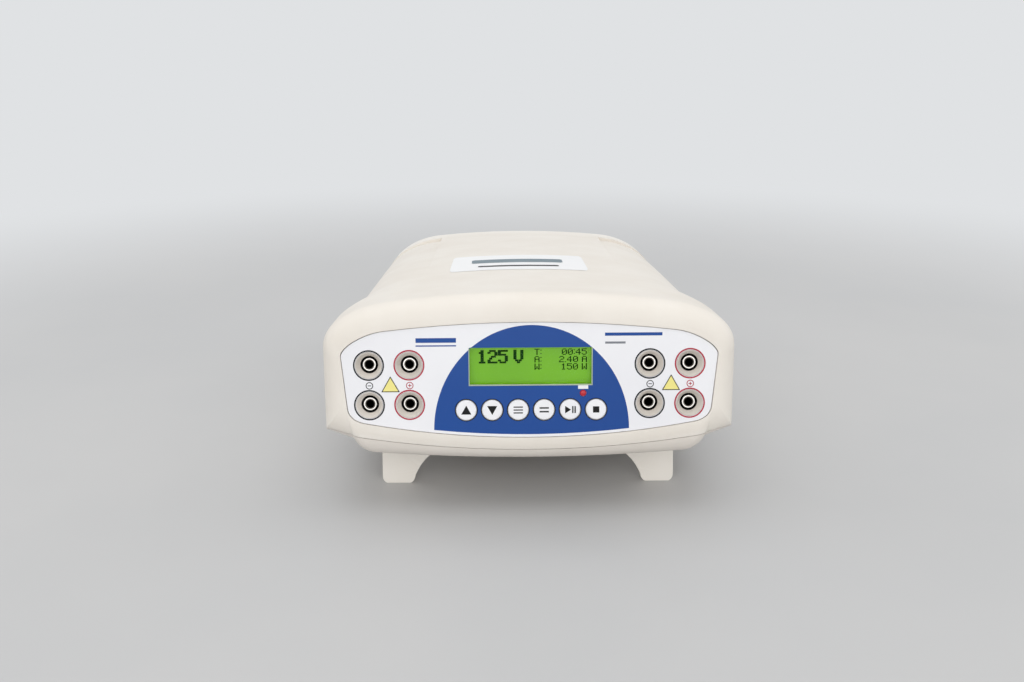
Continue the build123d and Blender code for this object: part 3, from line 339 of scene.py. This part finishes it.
def box_outline(u, v, width, height):
    return [(u - width / 2, v - height / 2), (u + width / 2, v - height / 2), (u + width / 2, v + height / 2),
            (u - width / 2, v + height / 2)]


# Places on the panel, in millimetres of its frame
FIELD_MIDDLE, FIELD_HALF, FIELD_FOOT, FIELD_RISE, FIELD_MARGIN = 0.9, 46.3, -24.0, 50.2, 1.6
KEYS = ("up", "down", "mode", "constant", "start", "stop")
KEY_MIDDLE, KEY_PITCH, KEY_ROW = 0.7, 12.3, -14.25
LAMP_U, LAMP_V = 25.3, -6.4
SOCKET_PITCH = 19.0
key_u = {name: KEY_MIDDLE + (i - 2.5) * KEY_PITCH for i, name in enumerate(KEYS)}


# Blue field behind the display and keys: half an ellipse standing on the panel's bowed lower edge
def lower_edge(u):
    return -27.7 + 7.1 * (u / 78.0) ** 2


field = []
for i in range(97):
    a = math.pi * i / 96
    u = FIELD_MIDDLE + FIELD_HALF * math.cos(a)
    v = FIELD_FOOT + FIELD_RISE * math.sin(a)
    field.append((u, max(v, lower_edge(u) + FIELD_MARGIN)))
for i in range(1, 24):
    u = FIELD_MIDDLE - FIELD_HALF + 2 * FIELD_HALF * i / 24
    field.append((u, lower_edge(u) + FIELD_MARGIN))

holes = [circle(u, KEY_ROW, 5.15, 48) for u in key_u.values()]


def punched_sheet(name, outline, cuts, material, lift):
    """Filled outline with holes, cut by triangulating the edges of both."""
    bm = bmesh.new()
    edges = []
    for ring in [outline] + cuts:
        verts = [bm.verts.new(panel_point(u, v, lift)) for u, v in ring]
        edges += [bm.edges.new((verts[i], verts[(i + 1) % len(verts)])) for i in range(len(verts))]
    bmesh.ops.triangle_fill(bm, edges=edges, use_beauty=True)
    flat = list(bm.faces)
    grown = bmesh.ops.extrude_face_region(bm, geom=flat)
    for vert in [g for g in grown["geom"] if isinstance(g, bmesh.types.BMVert)]:
        vert.co -= panel_out * (PRINT_THICKNESS * MM)
    bmesh.ops.recalc_face_normals(bm, faces=bm.faces)
    return printed_piece(name, bm, material)


DISPLAY_U, DISPLAY_V, DISPLAY_W, DISPLAY_H = 0.5, 6.65, 57.7, 17.8
aperture = box_outline(DISPLAY_U, DISPLAY_V, DISPLAY_W, DISPLAY_H)
lamp_hole = circle(LAMP_U, LAMP_V, 1.6, 24)
punched_sheet("blue_field", field, holes + [aperture, lamp_hole], BLUE, 0.04)
for i, u in enumerate(key_u.values()):
    mark(f"key_ring_{i}", [(circle(u, KEY_ROW, 5.45), circle(u, KEY_ROW, 5.12))], BLACK_INK, lift=0.07)

# Rings round the sockets, polarity signs and the plain triangles between the columns
for name, mount in sockets.items():
    local = Vector(mount["pos_m"]) - panel_origin
    u, v = local.dot(panel_right) / MM, local.dot(panel_up) / MM
    ink = BLACK_INK if name.split("socket_")[1].startswith(("left_outer", "right_inner")) else RED_INK
    mark(f"ring_{name}", [(circle(u, v, 7.3, 96), circle(u, v, 6.62, 96))], ink)
    # Flat dark ring on each contact's face: painted shade of the bore's chamfer.
    bevel = mark(f"bevel_{name}", [(circle(u, v, 2.45, 48), circle(u, v, 1.98, 48))], MOUTH_SHADE_METAL,
                 lift=-SOCKET_RECESS / MM + 0.04)

SIGN_ROW = -2.2
for side, outer in (("left", -75.6), ("right", 57.0)):
    inner = outer + SOCKET_PITCH
    for u, ink, plus in ((outer, BLACK_INK, False), (inner, RED_INK, True)):
        sign = "plus" if plus else "minus"
        ring = (circle(u, SIGN_ROW, 1.75, 40), circle(u, SIGN_ROW, 1.38, 40))
        mark(f"{side}_sign_ring_{sign}", [ring], ink)
        mark(f"{side}_sign_{sign}", [box_outline(u, SIGN_ROW, 1.7, 0.34)], ink)
        if plus:
            mark(f"{side}_sign_upright", [box_outline(u, SIGN_ROW, 0.34, 1.7)], ink, lift=0.045)
    mid = (outer + inner) / 2 + 0.4
    tri = [(mid - 4.35, -5.3), (mid + 4.35, -5.3), (mid, 2.3)]
    inner_tri = [(mid - 3.65, -4.9), (mid + 3.65, -4.9), (mid, 1.5)]
    mark(f"{side}_triangle_edge", [(tri, inner_tri)], BLACK_INK)
    mark(f"{side}_triangle", [inner_tri], YELLOW)

# Plain bars where the film carries its printed words
mark("film_bar_left", [box_outline(-44.0, 19.2, 19.0, 2.2)], BLUE)
mark("film_bar_left_thin", [box_outline(-44.0, 16.6, 19.0, 0.6)], BLUE)
mark("film_bar_right", [box_outline(49.0, 21.6, 27.0, 1.5)], BLUE)
mark("film_bar_right_thin", [box_outline(40.4, 17.6, 9.6, 1.0)], GREY_INK)
mark("lamp_bar", [box_outline(LAMP_U, -3.55, 4.8, 1.7)], FILM, lift=0.08)

# Pale moulded edge that shows along the foot and sides of the display
edge_u, edge_v = DISPLAY_W / 2 + 0.2, DISPLAY_H / 2 + 0.2
mark("display_edge", [box_outline(DISPLAY_U, DISPLAY_V - edge_v, 2 * edge_u + 0.4, 0.42),
                      box_outline(DISPLAY_U - edge_u, DISPLAY_V, 0.4, 2 * edge_v - 0.42),
                      box_outline(DISPLAY_U + edge_u, DISPLAY_V, 0.4, 2 * edge_v - 0.42)], BEZEL, lift=0.075)

# Key symbols, which ride with their keys
KEY_FACE = 0.6


def key_mark(name, key, outlines):
    return mark(name, outlines, BLACK_INK, body=f"key_{key}", lift=KEY_FACE + 0.03)


v0 = KEY_ROW
u = key_u["up"]
key_mark("symbol_up", "up", [[(u - 2.4, v0 - 2.0), (u + 2.4, v0 - 2.0), (u, v0 + 2.3)]])
u = key_u["down"]
key_mark("symbol_down", "down", [[(u - 2.4, v0 + 2.0), (u, v0 - 2.3), (u + 2.4, v0 + 2.0)]])
u = key_u["mode"]
key_mark("symbol_mode", "mode", [box_outline(u, v0 + d, 4.4, 0.55) for d in (-1.4, 0.0, 1.4)])
u = key_u["constant"]
key_mark("symbol_constant", "constant", [box_outline(u, v0 + d, 4.4, 0.7) for d in (-0.9, 0.9)])
u = key_u["start"]
key_mark("symbol_start", "start", [[(u - 2.4, v0 - 1.8), (u + 0.4, v0), (u - 2.4, v0 + 1.8)],
                                   box_outline(u + 1.25, v0, 0.65, 3.4),
                                   box_outline(u + 2.35, v0, 0.65, 3.4)])
u = key_u["stop"]
key_mark("symbol_stop", "stop", [box_outline(u, v0, 3.0, 3.0)])

# Display: dot-matrix figures on the lit glass
DOTS = {
    "0": ("01110", "10001", "10011", "10101", "11001", "10001", "01110"),
    "1": ("00100", "01100", "00100", "00100", "00100", "00100", "01110"),
    "2": ("01110", "10001", "00001", "00110", "01000", "10000", "11111"),
    "4": ("00010", "00110", "01010", "10010", "11111", "00010", "00010"),
    "5": ("11111", "10000", "11110", "00001", "00001", "10001", "01110"),
    "T": ("11111", "00100", "00100", "00100", "00100", "00100", "00100"),
    "V": ("10001", "10001", "10001", "10001", "10001", "01010", "00100"),
    "A": ("01110", "10001", "10001", "11111", "10001", "10001", "10001"),
    "W": ("10001", "10001", "10001", "10101", "10101", "11011", "10001"),
    ":": ("0", "1", "0", "0", "0", "1", "0"),
    ".": ("0", "0", "0", "0", "0", "0", "1"),
    " ": ("00", "00", "00", "00", "00", "00", "00"),
}
GLASS_FACE = -(0.5 + 2.5 + 0.3 + 0.6)


def display_text(name, text, left, top, dot_w, dot_h, gap=0.12, bold=0.0):
    """Figures drawn as square dots on the display glass, in millimetres of the panel's frame."""
    outlines = []
    u = left
    for char in text:
        rows = DOTS[char]
        for r, row in enumerate(rows):
            for c, bit in enumerate(row):
                if bit == "1":
                    outlines.append(box_outline(u + (c + 0.5) * dot_w + bold / 2, top - (r + 0.5) * dot_h,
                                                dot_w * (1 - gap) + bold, dot_h * (1 - gap)))
        u += (len(rows[0]) + 1) * dot_w
    obj = mark(name, outlines, LCD_INK, lift=GLASS_FACE + 0.03, thickness=0.02)
    return obj


display_text("figures_main", "125 V", -24.8, 13.9, 0.82, 0.92, gap=0.02, bold=0.72)
for label, letter, text, left, top in (("time", "T:", "00:45", 15.4, 14.35),
                                       ("current", "A:", "2.40 A", 14.1, 10.8),
                                       ("power", "W:", "150 W", 15.0, 7.25)):
    display_text(f"letter_{label}", letter, 2.4, top, 0.47, 0.43, gap=0.05, bold=0.14)
    display_text(f"figures_{label}", text, left, top, 0.47, 0.43, gap=0.05, bold=0.14)

# Blank label with two plain bars, laid on the cover's curve
cover = nodes["top_cover"]
cover_tree = BVHTree.FromObject(cover, bpy.context.evaluated_depsgraph_get())


def on_cover(x, y):
    hit = cover_tree.ray_cast(Vector((x, y, 1.0)), Vector((0, 0, -1)))
    return hit[0]


def cover_label(name, outline, material, lift, columns=24, rows=10):
    """Patch that follows the cover, from four corners in world X and Y with rounded ends."""
    (x0, y0), (x1, y1) = outline
    bm = bmesh.new()
    grid = []
    radius = min(0.0012, (y1 - y0) / 2.5)
    for j in range(rows + 1):
        t = j / rows
        y = y0 + (y1 - y0) * t
        edge = min(y - y0, y1 - y)
        cut = 0.0
        if edge < radius:
            cut = radius - math.sqrt(max(0.0, radius ** 2 - (radius - edge) ** 2))
        line = []
        for i in range(columns + 1):
            x = x0 + cut + (x1 - x0 - 2 * cut) * i / columns
            line.append(bm.verts.new(on_cover(x, y) + Vector((0, 0, lift))))
        grid.append(line)
    for j in range(rows):
        for i in range(columns):
            bm.faces.new((grid[j][i], grid[j][i + 1], grid[j + 1][i + 1], grid[j + 1][i]))
    for face in bm.faces:
        face.smooth = True
    return printed_piece(name, bm, material)


cover_label("cover_label", ((-0.0414, -0.0518), (0.0346, 0.0085)), LABEL_PAPER, 0.00012)
cover_label("cover_label_bar", ((-0.030, -0.024), (0.022, -0.010)), LABEL_BAR, 0.00018)
cover_label("cover_label_line", ((-0.026, -0.040), (0.019, -0.035)), BLACK_INK, 0.00018)


# Camera, fitted to the sockets, the legs and the top edges in the photograph
def aim(position, yaw, pitch, roll):
    forward = Vector((math.sin(yaw) * math.cos(pitch), math.cos(yaw) * math.cos(pitch), math.sin(pitch)))
    level = Vector((math.cos(yaw), -math.sin(yaw), 0.0))
    rise = level.cross(forward)
    right = level * math.cos(roll) + rise * math.sin(roll)
    up = rise * math.cos(roll) - level * math.sin(roll)
    return Matrix(((right.x, up.x, -forward.x, position[0]), (right.y, up.y, -forward.y, position[1]),
                   (right.z, up.z, -forward.z, position[2]), (0, 0, 0, 1)))


camera_data = bpy.data.cameras.new("camera")
camera_data.sensor_width = 36.0
camera_data.sensor_fit = "HORIZONTAL"
camera_data.lens = 1051.62 / 1024 * 36
camera_data.clip_start = 0.01
camera = bpy.data.objects.new("camera", camera_data)
camera.matrix_world = aim((-0.0125, -0.61015, 0.22855), 0.0091, -0.29652, -0.00469)
bpy.context.scene.collection.objects.link(camera)
bpy.context.scene.camera = camera


def background_rays(tree):
    """1 for rays that show the background, directly, in gloss or through glass, and 0 for rays that light."""
    path = tree.nodes.new("ShaderNodeLightPath")
    total = path.outputs["Is Camera Ray"]
    for name in ("Is Glossy Ray", "Is Transmission Ray"):
        either = node(tree, "ShaderNodeMath", operation="MAXIMUM")
        tree.links.new(total, either.inputs[0])
        tree.links.new(path.outputs[name], either.inputs[1])
        total = either.outputs["Value"]
    return total


# Wide plain floor, grey near the object and fading into the pale of the background
BACKDROP = rgb(224, 226, 228)
floor_material, tree, shader = new_material("pale_floor")
cloud = object_noise(tree, 3.0, 4.0, 0.6)
coords = tree.nodes.new("ShaderNodeTexCoord")
reach = node(tree, "ShaderNodeVectorMath", operation="LENGTH")
tree.links.new(coords.outputs["Object"], reach.inputs[0])
ground = mix_colour(tree, ramp(tree, cloud, 0.3, 0.7, 0.0, 1.0), rgb(196, 195, 194), rgb(190, 190, 190))
tree.links.new(ground, shader.inputs["Base Color"])
shader.inputs["Roughness"].default_value = 0.5
haze = node(tree, "ShaderNodeEmission", Color=BACKDROP, Strength=1.0)
fade = node(tree, "ShaderNodeMapRange", interpolation_type="SMOOTHSTEP")
for key, value in (("From Min", 0.34), ("From Max", 0.95), ("To Min", 0.0), ("To Max", 1.0)):
    fade.inputs[key].default_value = value
tree.links.new(reach.outputs["Value"], fade.inputs["Value"])
shown = node(tree, "ShaderNodeMath", operation="MULTIPLY")
tree.links.new(fade.outputs["Result"], shown.inputs[0])
tree.links.new(background_rays(tree), shown.inputs[1])
blend = tree.nodes.new("ShaderNodeMixShader")
tree.links.new(shown.outputs["Value"], blend.inputs[0])
tree.links.new(shader.outputs["BSDF"], blend.inputs[1])
tree.links.new(haze.outputs["Emission"], blend.inputs[2])
tree.links.new(blend.outputs["Shader"], tree.nodes["Material Output"].inputs["Surface"])
mesh = bpy.data.meshes.new("floor")
bm = bmesh.new()
bmesh.ops.create_circle(bm, cap_ends=True, radius=6.0, segments=96)
bm.to_mesh(mesh)
bm.free()
floor = bpy.data.objects.new("floor", mesh)
bpy.context.scene.collection.objects.link(floor)
floor.data.materials.append(floor_material)


# Soft studio light from above, in front and both sides
def area_light(name, position, target, size, power, colour=(1, 1, 1)):
    data = bpy.data.lights.new(name, "AREA")
    data.shape = "RECTANGLE"
    data.size, data.size_y = size
    data.energy = power
    data.color = colour
    obj = bpy.data.objects.new(name, data)
    direction = Vector(target) - Vector(position)
    obj.matrix_world = Matrix.Translation(position) @ direction.to_track_quat("-Z", "Y").to_matrix().to_4x4()
    bpy.context.scene.collection.objects.link(obj)


area_light("overhead", (0.0, 0.0, 1.5), (0, 0.05, 0), (1.8, 1.4), 7.3, (0.985, 0.99, 1.0))
area_light("front", (0.0, -1.5, 0.55), (0, 0, 0.05), (2.2, 0.9), 9.6, (1.0, 0.985, 0.965))
area_light("left", (-1.35, 0.3, 1.0), (0, 0.05, 0.05), (0.9, 0.9), 3.2)
area_light("right", (1.35, 0.35, 1.0), (0, 0.05, 0.05), (0.9, 0.9), 2.8)
world = bpy.data.worlds.new("studio")
world.use_nodes = True
sky = world.node_tree
sky.nodes["Background"].inputs["Color"].default_value = (0.95, 0.965, 0.98, 1)
sky.nodes["Background"].inputs["Strength"].default_value = 0.66
seen = node(sky, "ShaderNodeBackground", Color=BACKDROP, Strength=1.0)
either = sky.nodes.new("ShaderNodeMixShader")
sky.links.new(background_rays(sky), either.inputs[0])
sky.links.new(sky.nodes["Background"].outputs["Background"], either.inputs[1])
sky.links.new(seen.outputs["Background"], either.inputs[2])
sky.links.new(either.outputs["Shader"], sky.nodes["World Output"].inputs["Surface"])
bpy.context.scene.world = world
bpy.context.scene.view_settings.view_transform = "Standard"
